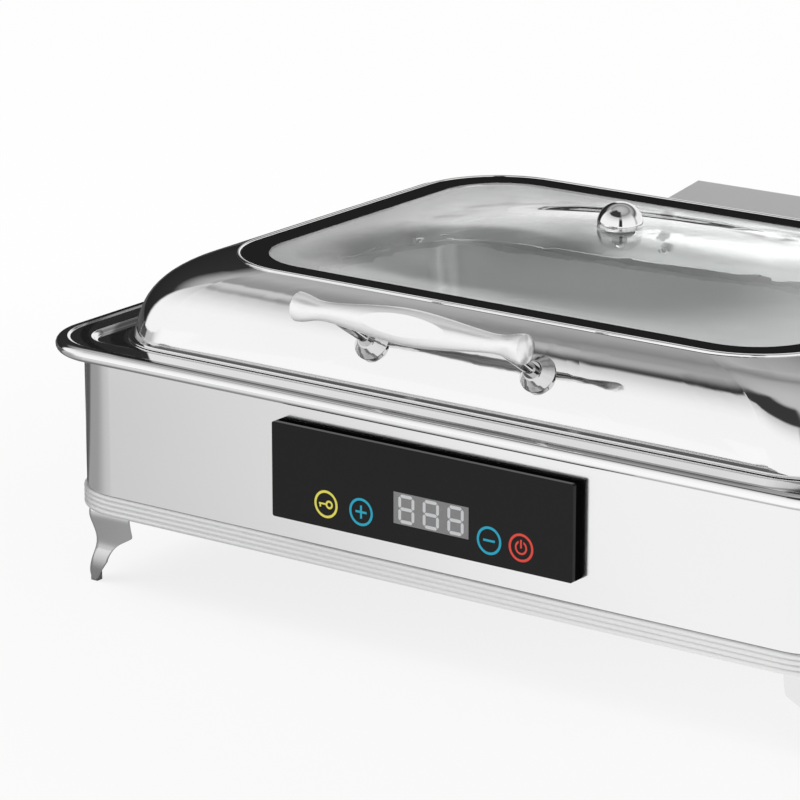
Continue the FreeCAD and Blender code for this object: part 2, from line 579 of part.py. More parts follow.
for x in (-88.0, -25.0, 25.0, 88.0):
    for z in (HINGE_LOW + 16.0, RIM_Z - 16.0):
        at = V(x, WALL_BACK + CHEEK_T, z)
        frame_screws.append(m5_screw(at, EY * -1))
        m5_nuts.append(hexagon(8.0, V(x, WALL_BACK - SHEET - 2.0, z), EY * -1, 4.0).cut(frame_screws[-1]))
parts["rear_stiffener"] = stiffener.cut(group(frame_screws))

# Cams on the shaft: involute lobe in the plane of the plunger, hub beside it
UNWOUND = STROKE + CAM_SPARE


def involute(u):
    """Cam point with unwound length u, in the closed position, about the shaft."""
    t = (UNWOUND - u) / CAM_BASE
    return V(0, -CAM_BASE * math.cos(t) + u * math.sin(t), -CAM_BASE * math.sin(t) - u * math.cos(t))


flank = Part.BSplineCurve()
u_root, u_tip = CAM_SPARE * 0.5, UNWOUND + CAM_LEAD
flank.interpolate([involute(u_root + (u_tip - u_root) * k / 8) for k in range(9)])
tip, root = involute(u_tip), involute(u_root)
heel = V(0, -SHAFT_R - 2.5, 2.0)
lobe_wire = Part.Wire([flank.toShape(), Part.makeLine(tip, heel), Part.makeLine(heel, V()),
                       Part.makeLine(V(), root)])
lobe = Part.Face(lobe_wire).extrude(EX * CAM_W)
cams, cam_pins, plungers, dampers = [], [], {}, {}
for side, name in ((-1, "left"), (1, "right")):
    start = AXIS + EX * (side * CAM_X - CAM_W / 2)
    hub = rod(CAM_HUB_R, AXIS + EX * (side * (CAM_X + CAM_W / 2)), EX * side, CAM_HUB_W)
    cam = lobe.translated(start).fuse(hub)
    pin_at = AXIS + EX * (side * (CAM_X + CAM_W / 2 + CAM_HUB_W / 2))
    pin = rod(1.25, pin_at - EZ * CAM_HUB_R, EZ, 2 * CAM_HUB_R)
    cam_pins.append(pin)
    cams.append(cam.cut(rod(SHAFT_R, AXIS - EX * LEAF_X, EX, 2 * LEAF_X)).cut(pin).removeSplitter())
    top = SHAFT_Z - UNWOUND - CAM_GAP
    low = DAMPER_TOP - DAMPER_L + 3.0
    at = V(side * CAM_X, PLUNGER_Y, low + 1.0)
    plungers[name] = rod(ROD_R, at, EZ, top - low - 1.0).fuse([
        rod(HEAD_R, at + EZ * (top - low - 1.0 - HEAD_T), EZ, HEAD_T),
        rod(DAMPER_BORE - FIT, at, EZ, PISTON_T)]).removeSplitter()
    bottom = V(side * CAM_X, PLUNGER_Y, DAMPER_TOP - DAMPER_L)
    body = rod(DAMPER_R, bottom, EZ, DAMPER_L)
    body = body.cut(rod(DAMPER_BORE, bottom + EZ * 3.0, EZ, DAMPER_L - 3.0 - GLAND_T))
    dampers[name] = body.cut(rod(ROD_R + FIT, bottom + EZ * 3.0, EZ, DAMPER_L))
parts["hinge_cams"] = group(cams)
parts["hinge_shaft"] = parts["hinge_shaft"].cut(group(cam_pins))
parts["cam_pins"] = group(cam_pins)
for name in ("left", "right"):
    parts["plunger_" + name] = plungers[name]
    parts["damper_cylinder_" + name] = dampers[name]

# Clamps that hold the damper cylinders to the frame plate
clamps, clamp_screws = [], []
CLAMP_BACK = PLUNGER_Y + DAMPER_R + 3.0
for side in (-1, 1):
    for z in (DAMPER_TOP - DAMPER_L + 6.0, DAMPER_TOP - 16.0):
        x = side * CAM_X
        block = box(x - 17.0, x + 17.0, WALL_BACK + CHEEK_T, CLAMP_BACK, z, z + 10.0)
        clamps.append(block.cut(rod(DAMPER_R, V(x, PLUNGER_Y, z), EZ, 10.0)))
        for dx in (-12.5, 12.5):
            clamp_screws.append(machine_screw(SCREW_R, 3.0, 2.0, V(x + dx, CLAMP_BACK, z + 5.0), EY * -1,
                                              CLAMP_BACK - WALL_BACK))
parts["damper_clamps"] = group(clamps).cut(group(clamp_screws))
parts["clamp_screws"] = group(clamp_screws)
parts["hinge_frame"] = frame.cut(group(frame_screws + clamp_screws)).removeSplitter()

# Hinge cover: sheet hood over cheeks and dampers, rubber stops for the open leaf
COVER_BACK = SHAFT_Y + COVER_R


def cover_form(t):
    low = box(-COVER_X + t, COVER_X - t, COVER_FRONT + t, COVER_BACK - t, HINGE_LOW + t, SHAFT_Z)
    foot_part = box(-COVER_X + t, COVER_X - t, WALL_BACK, COVER_BACK - t, HINGE_LOW + t, HINGE_NOTCH - t)
    return rod(COVER_R - t, AXIS - EX * (COVER_X - t), EX, 2 * (COVER_X - t)).fuse([low, foot_part])


cover = cover_form(0).cut(cover_form(COVER_T))
cover = cover.cut(rod(SHAFT_R + 2 * REST_GAP, AXIS - EX * LEAF_X, EX, 2 * LEAF_X))
vents = [box(x - 1.5, x + 1.5, COVER_BACK - 2.0, COVER_BACK + 1.0, HINGE_LOW + 14.0, HINGE_LOW + 34.0)
         for x in range(-40, 41, 10)]
cover = cover.cut(group(vents))
stops, cover_screws = [], []
for side in (-1, 1):
    stops.append(turned([(0, 0, 0), (STOP_R, 0, 0), (STOP_R, BUMPER, 1.0), (0, BUMPER, 0)],
                        V(side * STOP_X, COVER_BACK, SHAFT_Z - STOP_DROP), EY))
    for z in (HINGE_LOW + COVER_SCREW_UP, RIM_Z - COVER_SCREW_DOWN):
        cover_screws.append(m3_screw(V(side * COVER_X, SHAFT_Y - 2.0, z), EX * -side))
parts["open_stops"] = group(stops)
parts["hinge_cover"] = cover.cut(group(cover_screws)).removeSplitter()
parts["hinge_frame"] = parts["hinge_frame"].cut(group(cover_screws))

# Control box: tray on the front wall, touch glass in front, board behind it
FRONT = -WALL_Y / 2
BOX_BACK, TOUCH_BACK, BOX_FRONT = FRONT, FRONT - BOX_D + TOUCH_T, FRONT - BOX_D


def wall_block(x0, x1, z0, z1, y0, y1, r):
    """Block with round corners as seen from the front."""
    mid = V((x0 + x1) / 2, 0, (z0 + z1) / 2)
    flat = outline((x1 - x0) / 2, (z1 - z0) / 2, r, 0)
    flat.rotate(V(), EX, 90)
    flat.translate(mid + V(0, y1, 0))
    return Part.Face(flat).extrude(V(0, y0 - y1, 0))


hx, hz = BOX_X / 2, BOX_Z / 2
case = wall_block(-hx, hx, BOX_MID_Z - hz, BOX_MID_Z + hz, TOUCH_BACK, BOX_BACK, 1.5)
case = case.cut(wall_block(-hx + BOX_WALL, hx - BOX_WALL, BOX_MID_Z - hz + BOX_WALL,
                           BOX_MID_Z + hz - BOX_WALL, TOUCH_BACK, BOX_BACK - BOX_WALL, 1.0))
BOARD_BACK = BOX_BACK - BOX_WALL - PEG_L
peg_at = [(sx * (hx - 12.0), BOX_MID_Z + sz * (hz - 10.0)) for sx in (-1, 1) for sz in (-1, 1)]
pegs = [rod(3.0, V(x, BOX_BACK - BOX_WALL, z), EY * -1, PEG_L) for x, z in peg_at]
cable_hole = rod(6.0, V(0, BOX_BACK + 4.0, BOX_MID_Z), EY * -1, 9.0)
box_screws = [m3_screw(V(x, BOX_BACK + SHEET, z), EY * -1, 5.0) for x, z in peg_at]
board = wall_block(-hx + 4.0, hx - 4.0, BOX_MID_Z - hz + 4.0, BOX_MID_Z + hz - 4.0,
                   BOARD_BACK - BOARD_T, BOARD_BACK, 2.0)
parts["control_case"] = case.fuse(pegs).cut(cable_hole).cut(group(box_screws))
parts["control_board"] = board.cut(group(box_screws)).cut(cable_hole)
touch = wall_block(-hx, hx, BOX_MID_Z - hz, BOX_MID_Z + hz, BOX_FRONT, TOUCH_BACK, 1.5)


def print_block(x0, x1, z0, z1):
    return box(x0, x1, BOX_FRONT, BOX_FRONT + PRINT_DEPTH, z0, z1)


def print_disc(r, x, z):
    return rod(r, V(x, BOX_FRONT, z), EY, PRINT_DEPTH)


def key_ring(x):
    return print_disc(RING_R, x, KEY_Z).cut(print_disc(RING_R - RING_W, x, KEY_Z))


def tilted(shape, x, angle):
    return shape.rotated(V(x, 0, KEY_Z), EY, angle)


stroke = 1.5
lock = key_ring(LOCK_X).fuse([
    print_disc(2.9, LOCK_X + 2.6, KEY_Z).cut(print_disc(1.5, LOCK_X + 2.6, KEY_Z)),
    print_block(LOCK_X - 5.6, LOCK_X - 0.2, KEY_Z - 0.6, KEY_Z + 0.6),
    print_block(LOCK_X - 5.2, LOCK_X - 4.0, KEY_Z - 2.4, KEY_Z)])
arm = 4.4
thin = stroke / 2
cross = print_block(PLUS_X - arm, PLUS_X + arm, KEY_Z - thin, KEY_Z + thin).fuse(
    print_block(PLUS_X - thin, PLUS_X + thin, KEY_Z - arm, KEY_Z + arm))
plus = group([key_ring(PLUS_X), cross.removeSplitter()])
minus = group([key_ring(MINUS_X),
               print_block(MINUS_X - arm, MINUS_X + arm, KEY_Z - thin, KEY_Z + thin)])
power_arc = print_disc(4.6, POWER_X, KEY_Z).cut(print_disc(3.3, POWER_X, KEY_Z)).cut(
    print_block(POWER_X - 1.8, POWER_X + 1.8, KEY_Z + 1.0, KEY_Z + 6.0))
power = group([key_ring(POWER_X), power_arc,
               print_block(POWER_X - 0.65, POWER_X + 0.65, KEY_Z - 0.4, KEY_Z + 5.2)])


def seven_segments(x, z, lit):
    """Slanted-end bars of one digit; lit names the segments a to g that are drawn."""
    w, h, s = DIGIT_W / 2, DIGIT_H / 2, DIGIT_STROKE
    gap = 0.35
    flat = {"a": (0, h - s / 2), "g": (0, 0), "d": (0, -h + s / 2)}
    tall = {"f": (-w + s / 2, h / 2 - s / 4), "b": (w - s / 2, h / 2 - s / 4),
            "e": (-w + s / 2, -h / 2 + s / 4), "c": (w - s / 2, -h / 2 + s / 4)}
    made = []
    for key in lit:
        if key in flat:
            cx, cz = flat[key]
            run, thick = w - s / 2 - gap, s / 2
            pts = [(-run, 0), (-run + thick, thick), (run - thick, thick), (run, 0),
                   (run - thick, -thick), (-run + thick, -thick)]
        else:
            cx, cz = tall[key]
            run, thick = (h - s / 2) / 2 - gap, s / 2
            pts = [(0, -run), (thick, -run + thick), (thick, run - thick), (0, run),
                   (-thick, run - thick), (-thick, -run + thick)]
        wire = Part.makePolygon([V(x + cx + a, BOX_FRONT, z + cz + b) for a, b in pts + pts[:1]])
        made.append(Part.Face(wire).extrude(V(0, PRINT_DEPTH, 0)))
    return made


digits = []
for i in (-1, 0, 1):
    digits += seven_segments(DIGIT_X + i * DIGIT_PITCH, DIGIT_Z, "abcdefg")
prints = {"lock_mark": lock, "plus_mark": plus, "minus_mark": minus, "power_mark": power,
          "display_digits": group(digits)}
for name, shape in prints.items():
    touch = touch.cut(shape)
    parts[name] = shape
parts["touch_glass"] = touch

# Body shell openings: control cable and screws, hinge screws, inlet
inlet_hole = wall_block(INLET_X - INLET_W / 2, INLET_X + INLET_W / 2, INLET_Z - INLET_H / 2,
                        INLET_Z + INLET_H / 2, WALL_BACK - SHEET - 1.0, WALL_BACK + 1.0, 4.0)

# Power inlet: flanged body, three blades in its well, two screws
flange = wall_block(INLET_X - INLET_EAR / 2, INLET_X + INLET_EAR / 2, INLET_Z - 12.0, INLET_Z + 12.0,
                    WALL_BACK, WALL_BACK + 3.0, 6.0)
shaft_block = wall_block(INLET_X - INLET_W / 2, INLET_X + INLET_W / 2, INLET_Z - INLET_H / 2,
                         INLET_Z + INLET_H / 2, WALL_BACK - INLET_D + 3.0, WALL_BACK, 4.0)
well = wall_block(INLET_X - 12.2, INLET_X + 12.2, INLET_Z - 8.2, INLET_Z + 8.2,
                  WALL_BACK - 15.0, WALL_BACK + 3.0, 3.0)
blades = [box(INLET_X + dx - 1.0, INLET_X + dx + 1.0, WALL_BACK - INLET_D, WALL_BACK - 1.0,
              INLET_Z + dz - 2.0, INLET_Z + dz + 2.0) for dx, dz in ((-7.0, -1.5), (0.0, 2.5), (7.0, -1.5))]
inlet_screws = [m3_screw(V(INLET_X + s * 20.0, WALL_BACK + 3.0, INLET_Z), EY * -1) for s in (-1, 1)]
parts["inlet_body"] = flange.fuse(shaft_block).cut(well).cut(group(blades + inlet_screws)).removeSplitter()
parts["inlet_blades"] = group(blades)

# Heater: cast plate with an embedded tube, held up by two bars on studs
plate_low = HEAT_TOP - HEAT_T
heat_plate = prism(HEAT_X / 2, HEAT_Y / 2, 20.0, plate_low, HEAT_TOP)
tube_z = plate_low + TUBE_R + 1.0
bend = 45.0
run = HEAT_X / 2 - 70.0
spine = Part.Wire([
    Part.makeLine(V(HEAT_X / 2 + 25.0, -bend, tube_z), V(-run, -bend, tube_z)),
    Part.Arc(V(-run, -bend, tube_z), V(-run - bend, 0, tube_z), V(-run, bend, tube_z)).toShape(),
    Part.makeLine(V(-run, bend, tube_z), V(HEAT_X / 2 + 25.0, bend, tube_z))])
section = Part.Wire([Part.makeCircle(TUBE_R, V(HEAT_X / 2 + 25.0, -bend, tube_z), EX)])
heat_tube = spine.makePipeShell([section], True, False)
studs, stud_nuts, bars = [], [], []
for x in (-90.0, 90.0):
    bar_solid = box(x - BAR_W / 2, x + BAR_W / 2, -HEAT_Y / 2 - 18.0, HEAT_Y / 2 + 18.0,
                    plate_low - BAR_T, plate_low)
    for y in (-HEAT_Y / 2 - 9.0, HEAT_Y / 2 + 9.0):
        studs.append(rod(STUD_R, V(x, y, plate_low - BAR_T - 6.0), EZ, HEAT_T + BAR_T + 6.0))
        nut = hexagon(10.0, V(x, y, plate_low - BAR_T - 5.0), EZ, 5.0)
        stud_nuts.append(nut.cut(rod(STUD_R, V(x, y, plate_low - BAR_T - 6.0), EZ, 8.0)))
    bars.append(bar_solid)
parts["heater_plate"] = heat_plate.cut(heat_tube)
parts["heating_tube"] = heat_tube
parts["heater_bars"] = group(bars).cut(group(studs))
parts["water_pan"] = parts["water_pan"].fuse(studs).removeSplitter()
parts["heater_nuts"] = group(stud_nuts)
cutout = rod(9.0, V(0, 0, plate_low - 7.0), EZ, 7.0).fuse(rod(12.0, V(0, 0, plate_low - 2.0), EZ, 2.0))
parts["thermal_cutout"] = cutout.removeSplitter()

# Bottom cover with vent slots, power board on pillars
COVER_LOW = LEG_TOP
bottom = prism(WALL_X / 2 - 1.0, WALL_Y / 2 - 1.0, WALL_R - 1.0, COVER_LOW, COVER_LOW + SHEET)
slots = [box(x - 2.0, x + 2.0, y - 22.0, y + 22.0, COVER_LOW - 1.0, COVER_LOW + 2.0)
         for x in range(-120, 121, 15) for y in (-40.0, 40.0)]
pillars, board_screws = [], []
BOARD_LOW = COVER_LOW + SHEET + PILLAR_H
for x in PILLAR_X:
    for y in (-PILLAR_Y, PILLAR_Y):
        pillars.append(rod(PILLAR_R, V(x, y, COVER_LOW + SHEET), EZ, PILLAR_H))
        board_screws.append(m3_screw(V(x, y, BOARD_LOW + BOARD_T), EZ * -1))
power_board = box(PILLAR_X[0] - BOARD_EDGE, PILLAR_X[1] + BOARD_EDGE, -PILLAR_Y - BOARD_EDGE,
                  PILLAR_Y + BOARD_EDGE, BOARD_LOW, BOARD_LOW + BOARD_T)
parts["power_board"] = power_board.cut(group(board_screws))
parts["m3_screws"] = group(box_screws + inlet_screws + cover_screws + board_screws)

# Legs: one pressed plate bent round the corner, a flange on top, a pad in the foot
leg_screws = []


def leg_form(inset):
    """Corner of the leg as a full form, its near corner at the ridge line."""
    half_sizes = [(LEG_FAR - u - inset, w) for u, w in RIDGE]
    form = stack([(h, h, LEG_BEND - inset, w) for h, w in half_sizes])
    return form.translated(V(LEG_FAR, LEG_FAR, 0))


sweep = Part.BSplineCurve()
sweep.interpolate([V(u, 0, w) for u, w in LEG_SWEEP])
shoulder = V(LEG_W, 0, LEG_SWEEP[-1][1] + 3.0)
corners = [V(LEG_W, 0, LEG_TOP), V(0, 0, LEG_TOP), V(0, 0, LEG_LOW), V(LEG_TOE, 0, LEG_LOW),
           sweep.StartPoint]
leg_edges = [Part.makeLine(a, b) for a, b in zip(corners, corners[1:])]
leg_edges += [sweep.toShape(),
              Part.Arc(sweep.EndPoint, shoulder - V(0.4, 0, 1.6), shoulder).toShape(),
              Part.makeLine(shoulder, corners[0])]
front_view = along_y(Part.Face(Part.Wire(leg_edges)), 0, LEG_FAR)
swap = FreeCAD.Matrix(0, 1, 0, 0, 1, 0, 0, 0, 0, 0, 1, 0, 0, 0, 0, 1)
side_view = front_view.transformGeometry(swap)
leg_outer = leg_form(0)
leg_sheet = leg_outer.cut(leg_form(LEG_T)).common(front_view).common(side_view)
leg_flange = leg_outer.common(box(0, LEG_W, 0, LEG_W, LEG_TOP - LEG_T, LEG_TOP))
leg_one = leg_sheet.fuse(leg_flange).removeSplitter()
pad_one = box(PAD_IN, PAD_IN + PAD_W, PAD_IN, PAD_IN + PAD_W, 0.0, PAD_H).cut(leg_one)
leg_one.translate(V(-WALL_X / 2, -WALL_Y / 2, 0))
pad_one.translate(V(-WALL_X / 2, -WALL_Y / 2, 0))
screw_at = V(-WALL_X / 2 + 36.0, -WALL_Y / 2 + 36.0, LEG_TOP - LEG_T)
legs = {"front_left": (False, False), "front_right": (True, False),
        "rear_left": (False, True), "rear_right": (True, True)}
pads = []
for name, (mx, my) in legs.items():
    at = V(-screw_at.x if mx else screw_at.x, -screw_at.y if my else screw_at.y, screw_at.z)
    screw = m5_screw(at, EZ)
    leg_screws.append(screw)
    m5_nuts.append(hexagon(8.0, at + EZ * (LEG_T + 2 * SHEET), EZ, 4.0).cut(screw))
    parts["leg_" + name] = mirrored(leg_one, mx, my).cut(screw)
    pads.append(mirrored(pad_one, mx, my))
parts["leg_pads"] = group(pads)
parts["m5_screws"] = group(frame_screws + leg_screws)
parts["m5_nuts"] = group(m5_nuts)
parts["bottom_cover"] = bottom.fuse(pillars).cut(group(slots + leg_screws + board_screws))
parts["body_shell"] = body_shell.cut(group(leg_screws + frame_screws + box_screws + inlet_screws)).cut(
    inlet_hole).cut(cable_hole)

# Export about the middle of the overall box
facet_edge = math.radians(FACET_TURN - 180.0) + math.acos(BAR_FLAT / BAR_MID_R)
FRONT_Y = bar_mid.y - BAR_MID_R * math.cos(facet_edge)
BACK_Y = COVER_BACK + BUMPER
shift = V(0, -(FRONT_Y + BACK_Y) / 2, 0)
os.makedirs("parts", exist_ok=True)
for name, shape in parts.items():
    shape.translated(shift).exportStep("parts/" + name + ".step")
print(len(parts), "parts; shift", round(shift.y, 3))
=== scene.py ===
# %% [markdown]
# A countertop chafing dish in mirror-polished steel, shown closed on a pale studio floor. The
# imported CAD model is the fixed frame: it gives every rigid form at its real place and size, in
# metres. This lesson dresses that frame. Each step first says what the real piece or finish is,
# then how it can be made, then why it is made this way.

# %% Load the frame
import math

import bpy
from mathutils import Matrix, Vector


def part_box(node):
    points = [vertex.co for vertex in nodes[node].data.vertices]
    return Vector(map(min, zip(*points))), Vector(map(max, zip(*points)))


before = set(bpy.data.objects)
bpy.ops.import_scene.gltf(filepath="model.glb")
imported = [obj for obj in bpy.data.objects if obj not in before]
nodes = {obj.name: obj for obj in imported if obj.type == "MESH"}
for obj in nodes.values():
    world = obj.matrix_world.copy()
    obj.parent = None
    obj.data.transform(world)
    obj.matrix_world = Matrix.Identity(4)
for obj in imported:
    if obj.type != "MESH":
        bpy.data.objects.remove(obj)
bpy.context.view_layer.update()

# %% [markdown]
# The dish is seen from the front and a little to the right, slightly above the lid, with a long
# lens. A camera is a place, a direction and a focal length. The direction is given by two angles,
# because a turn about Z and a tilt down are what a tripod head has.

# %% Camera
LENS_MM, SENSOR_MM, FARTHEST = 183.06, 36.0, 50.0
TRIPOD = (1.42212, -2.228842, 0.89766)
TURN, TILT = 0.62646525, 0.28475674

camera_data = bpy.data.cameras.new("studio_camera")
camera_data.lens = LENS_MM
camera_data.sensor_width = SENSOR_MM
camera_data.clip_end = FARTHEST
camera = bpy.data.objects.new("studio_camera", camera_data)
bpy.context.scene.collection.objects.link(camera)
camera.location = TRIPOD
camera.rotation_euler = (math.pi / 2 - TILT, 0.0, TURN)
bpy.context.scene.camera = camera
bpy.context.scene.view_settings.view_transform = "Standard"
print("camera at", tuple(round(v, 3) for v in camera.location), "lens", LENS_MM, "mm")


# %% [markdown]
# A finish is a small network of shader nodes. Wiring it by hand takes many lines, so two classes
# do it. The first, Signal, wraps one output socket and lets ordinary arithmetic add the Math
# nodes, so that a mask reads like the sum that it is.

# %% Shader arithmetic
class Signal:
    """One output socket. Sums, products and powers of signals add Math nodes."""

    def __init__(self, finish, socket):
        self.finish, self.socket = finish, socket

    def math(self, operation, left, right=0.0):
        return self.finish.node("Math", {0: left, 1: right}, operation=operation)

    def __add__(self, other):
        return self.math("ADD", self, other)

    def __sub__(self, other):
        return self.math("SUBTRACT", self, other)

    def __rsub__(self, other):
        return self.math("SUBTRACT", other, self)

    def __mul__(self, other):
        return self.math("MULTIPLY", self, other)

    def __pow__(self, other):
        return self.math("POWER", self, other)

    def __rpow__(self, other):
        return self.math("POWER", other, self)

    def __abs__(self):
        return self.math("ABSOLUTE", self)

    __radd__, __rmul__ = __add__, __mul__

    def most(self, other):
        return self.math("MAXIMUM", self, other)

    def over(self, edge):
        """1 where the signal is more than edge, else 0."""
        return self.math("GREATER_THAN", self, edge)

    def under(self, edge):
        return self.math("LESS_THAN", self, edge)

    def rise(self, low, high):
        """0 up to low, 1 from high on, smooth between them."""
        return self.finish.node("MapRange", {"Value": self, "From Min": low, "From Max": high},
                                interpolation_type="SMOOTHSTEP")


def between(value, low, full, last, gone):
    """1 from full to last, falling softly to 0 at low and gone."""
    return value.rise(low, full) * (1 - value.rise(last, gone))


# %% [markdown]
# The second class, Finish, owns a node tree. Its one method, node, makes any node from its kind,
# its settings and what goes into its sockets, and the short methods under it name the few kinds
# that the finishes of this dish need again and again.

# %% Node trees
class Finish:
    """A node tree under construction: a material's, or the world's."""

    def __init__(self, owner):
        owner.use_nodes = True
        self.owner, self.tree = owner, owner.node_tree
        self.tree.nodes.clear()

    def node(self, kind, sockets=None, out=0, **settings):
        made = self.tree.nodes.new("ShaderNode" + kind)
        stops = settings.pop("stops", None)
        for name, value in settings.items():
            setattr(made, name, value)
        if stops:
            ramp = made.color_ramp.elements
            while len(ramp) < len(stops):
                ramp.new(0.5)
            for element, (place, colour) in zip(ramp, stops):
                element.position, element.color = place, colour
        for name, value in (sockets or {}).items():
            if isinstance(value, Signal):
                self.tree.links.new(value.socket, made.inputs[name])
            else:
                made.inputs[name].default_value = value
        return Signal(self, made.outputs[out]) if len(made.outputs) else None

    def place(self):
        """Object coordinates, in metres."""
        return self.node("TexCoord", out="Object")

    def facing(self):
        """The surface's own direction, in the object's axes."""
        return self.node("TexCoord", out="Normal")

    def axes(self, vector):
        """The three numbers of a vector."""
        split = self.node("SeparateXYZ", {"Vector": vector}).socket.node
        return [Signal(self, socket) for socket in split.outputs]

    def ray(self, kind):
        """1 for light paths of one kind, named as the Light Path node names them."""
        return self.node("LightPath", out=kind)

    def noise(self, scale, detail=3.0, rough=0.5, where=None):
        return self.node("TexNoise", {"Vector": where or self.place(), "Scale": scale,
                                      "Detail": detail, "Roughness": rough})

    def streaks(self, marks):
        """Noise of its own size along each axis, in marks to the metre."""
        where = self.node("Mapping", {"Vector": self.place(), "Scale": marks})
        return self.noise(1.0, detail=2.0, where=where)

    def cells(self, scale, **settings):
        return self.node("TexVoronoi", {"Vector": self.place(), "Scale": scale}, **settings)

    def blend(self, mask, low, high):
        """Mix two colours, or a colour and a signal, by a mask. Sockets 0, 6 and 7 are the colour
        mix's factor, A and B, and output 2 is its result."""
        return self.node("Mix", {0: mask, 6: low, 7: high}, out=2, data_type="RGBA")

    def bump(self, height, strength, distance, normal=None):
        sockets = {"Height": height, "Strength": strength, "Distance": distance}
        if normal:
            sockets["Normal"] = normal
        return self.node("Bump", sockets)

    def glow(self, colour):
        return self.node("Emission", {"Color": colour, "Strength": 1.0})

    def principled(self, colour, rough, **sockets):
        """Close the tree with a Principled shader; keywords name its sockets with underscores."""
        links = {name.replace("_", " ").title().replace("Ior", "IOR"): value
                 for name, value in sockets.items()}
        return self.surface(self.node("BsdfPrincipled",
                                      {"Base Color": colour, "Roughness": rough, **links}))

    def surface(self, shader):
        self.node("OutputMaterial", {"Surface": shader})
        return self.owner


def new_finish(name):
    return Finish(bpy.data.materials.new(name))


def grey(value):
    return (value, value, value, 1.0)


def dress(material, *names):
    """Give a finish to CAD nodes."""
    for name in names:
        nodes[name].data.materials.clear()
        nodes[name].data.materials.append(material)
    print(material.name, "->", ", ".join(names))


# %% [markdown]
# Light comes before the finishes, because polished metal shows nothing but its surroundings. In a
# plain white tent steel looks like paper, so the ceiling stays grey, and two large white screens
# stand in front: one on the left, one on the right of the camera, with a narrow gap for the lens.
# They grow dimmer toward their tops, so that the lid's shoulders fade instead of ending in a line.
# A dark strip, the valance, hangs over the left screen and draws the dark line along the lid. The
# white backdrop closes the round, and what is left open behind on the left is nearly black.

# %% Screens
CEILING = [(0.0, grey(0.02)), (0.50, grey(0.03)), (0.66, grey(0.36)), (0.74, grey(0.46)),
           (0.79, grey(0.34)), (0.83, grey(0.25)), (0.88, grey(0.40)), (1.0, grey(0.54))]
SCREEN_FACE = [(0.0, grey(1.0)), (0.32, grey(0.99)), (0.44, grey(0.93)), (0.56, grey(0.82)),
               (0.70, grey(0.62))]
LEFT_TURN, LEFT_TOP = (-180.0, -172.0, -66.0, -60.0), (0.80, 0.88)
RIGHT_TURN, RIGHT_TOP = (-49.0, -44.0, 20.0, 40.0), (0.62, 0.85)
BACKDROP_TURN, BACKDROP_TOP, BACKDROP_WHITE = (26.0, 44.0, 127.4, 128.8), (0.32, 0.55), 0.95
VALANCE_TURN, VALANCE_HEIGHT = (-168.0, -140.0, -60.0, -40.0), (0.70, 0.76, 0.965, 0.995)
VALANCE_GREY = 0.04

print("left screen", LEFT_TURN[2] - LEFT_TURN[1], "degrees wide, right screen",
      RIGHT_TURN[2] - RIGHT_TURN[1], "and backdrop", BACKDROP_TURN[2] - BACKDROP_TURN[1])

# %% [markdown]
# Such a studio can be built of lit boards or painted on the world. It is painted here, because
# direction is all that a far surrounding depends on. Each piece is a window of azimuth and height,
# and four numbers say where a window starts, is full, begins to end and has ended. The camera, and
# rays that went through glass, see plain white instead, so the picture's background stays clean.

# %% World
def turned(east, north):
    """Azimuth in degrees, 0 toward +X and growing to the left."""
    return east.math("ARCTAN2", north, east) * (180 / math.pi)


world = bpy.data.worlds.new("studio")
bpy.context.scene.world = world
sky = Finish(world)
east, north, up = sky.axes(sky.node("TexCoord", out="Generated"))
azimuth = turned(east, north)
dome = sky.node("ValToRGB", {"Fac": up}, stops=CEILING)
face = sky.node("ValToRGB", {"Fac": up}, stops=SCREEN_FACE)
for window, top, glow in ((LEFT_TURN, LEFT_TOP, face), (RIGHT_TURN, RIGHT_TOP, face),
                          (BACKDROP_TURN, BACKDROP_TOP, grey(BACKDROP_WHITE))):
    dome = sky.blend(between(azimuth, *window) * (1 - up.rise(*top)), dome, glow)
valance = between(azimuth, *VALANCE_TURN) * between(up, *VALANCE_HEIGHT)
dome = sky.blend(valance, dome, grey(VALANCE_GREY))
seen = sky.ray("Is Camera Ray").most(sky.ray("Is Transmission Ray"))
background = sky.node("Background", {"Color": sky.blend(seen, dome, grey(1.0)), "Strength": 1.0})
sky.node("OutputWorld", {"Surface": background})
print("studio with two screens, a backdrop and a valance")

# %% [markdown]
# The floor is a pale sheet. What the walls and legs reflect is the sheet close to them, so the
# tones that reflections see are painted shade, chosen for that reflection. They are greyer on the
# left, and greyest right beside the wall there, like a contact shadow, which gives the front wall
# its slow change of tone. Behind on the left they are nearly black, and half dark toward the
# front, so that the corner of the wall gets a dark edge. The tones are worked out from azimuth and
# distance, as for the screens, and the distance from a wall with round corners takes a small
# formula.

# %% Floor tones
FLOOR_HALF, FLOOR_MATT = 12.0, 0.9
NEAR_GREY, NEAR_WHITE, FAR_WHITE, NEAR_TO_FAR = 0.67, 1.09, 1.10, (0.85, 1.5)
ACROSS, GREY_TO_WHITE = (0.788, -0.616), (-0.15, 0.36)
CLOSE_SHADE, CLOSE_BAND, WALL_CORNER = 0.34, (0.05, 0.17), 0.04
FLAG_TURN, FLAG_FROM = (127.4, 128.8, 179.5, 180.0), (0.50, 0.70)
CORNER_DARK, CORNER_HALF = (-180.1, -180.0, -167.0, -161.0), (-180.1, -180.0, -152.0, -134.0)
HALF_SHADE, CORNER_FROM, SHADOWED = 0.55, (0.30, 0.50), 0.03
SHADE_SHARE, FAR_SHARE, SHARE_BAND = 0.80, 0.97, (0.40, 1.0)
MIRROR_SHARE = 0.9


